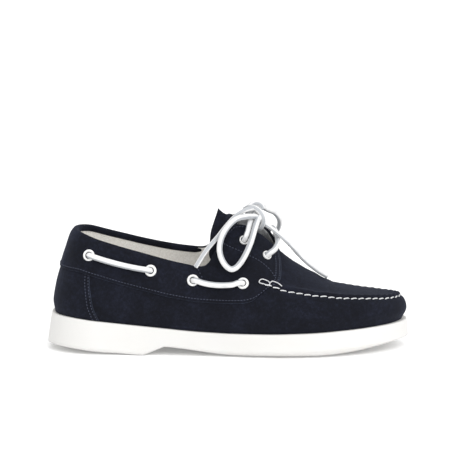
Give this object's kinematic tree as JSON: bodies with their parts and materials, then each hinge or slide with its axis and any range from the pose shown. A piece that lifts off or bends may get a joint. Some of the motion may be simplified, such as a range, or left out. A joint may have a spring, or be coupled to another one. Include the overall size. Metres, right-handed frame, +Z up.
{
  "type": "boat shoe",
  "caption": "Low boat shoe for the right foot: hollow moccasin upper on a moulded rubber sole, laced through eyelets round the collar and tied in a bow.",
  "frame": {"origin": "on the floor, under the middle of the shoe's length and width", "axes": "+X from heel to toe, +Y to the inner (medial) side of the foot, +Z up"},
  "size_m": [0.28, 0.1002, 0.1146],
  "materials": {
    "sole": "moulded white rubber, satin",
    "insole": "off-white textile sock over a foam footbed",
    "suede": "dark navy suede, brushed nap, pale lining inside",
    "tongue": "dark navy suede, grey lining behind",
    "eyelet": "white enamelled metal",
    "lace": "white rawhide-style lace, smooth and waxed"
  },
  "bodies": {
    "root": {"outsole": "sole", "insole": "insole", "upper": "suede", "tongue": "tongue", "eyelet_lateral_1": "eyelet", "eyelet_lateral_2": "eyelet", "eyelet_lateral_3": "eyelet", "eyelet_lateral_4": "eyelet", "eyelet_lateral_5": "eyelet", "eyelet_lateral_6": "eyelet", "eyelet_medial_1": "eyelet", "eyelet_medial_2": "eyelet", "eyelet_medial_3": "eyelet", "eyelet_medial_4": "eyelet", "eyelet_medial_5": "eyelet", "eyelet_medial_6": "eyelet", "lace_side_lateral_rear": "lace", "lace_side_lateral_front": "lace", "lace_side_medial_rear": "lace", "lace_side_medial_front": "lace", "lace_upper_bar": "lace", "lace_lower_bar": "lace", "lace_knot": "lace", "lace_loop_near": "lace", "lace_end_near": "lace", "lace_loop_far": "lace", "lace_end_far": "lace"}
  },
  "joints": []
}
